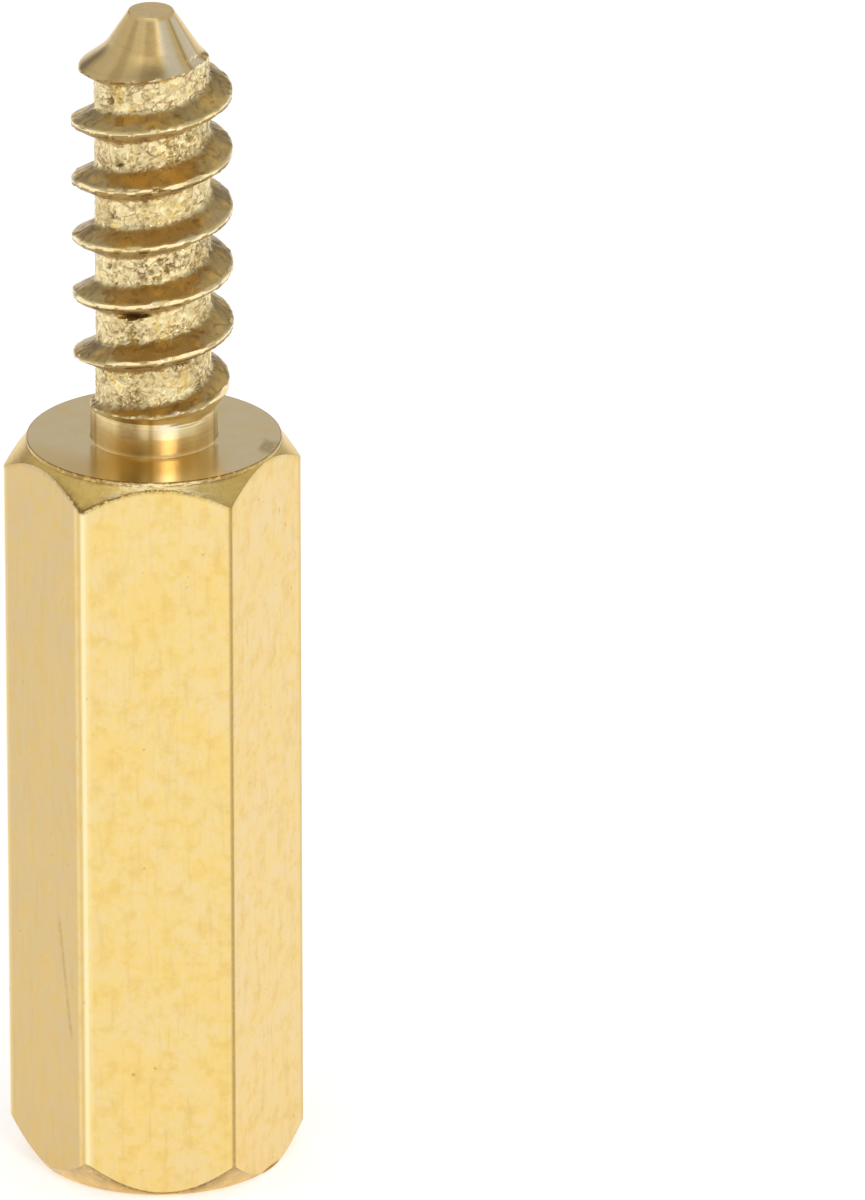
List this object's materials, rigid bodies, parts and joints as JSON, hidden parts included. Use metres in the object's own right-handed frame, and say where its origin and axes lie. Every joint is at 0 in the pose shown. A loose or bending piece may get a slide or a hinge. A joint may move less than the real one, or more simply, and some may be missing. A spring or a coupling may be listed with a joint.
{
  "type": "hex standoff",
  "caption": "Hexagonal brass standoff with a tapped hole in its foot and a pointed self-tapping stud on its shoulder.",
  "frame": {"origin": "middle of the foot, on the surface that the standoff stands on", "axes": "+Z along the turning axis from the foot to the tip of the stud; -Y square to one flat of the hexagon, so that two opposite corners lie on X"},
  "size_m": [0.0068, 0.006, 0.0285],
  "materials": {
    "brass": "bare brass: satin tumbled flats, turned ends and neck, torn rough thread"
  },
  "bodies": {
    "root": {"standoff": "brass"}
  },
  "joints": []
}
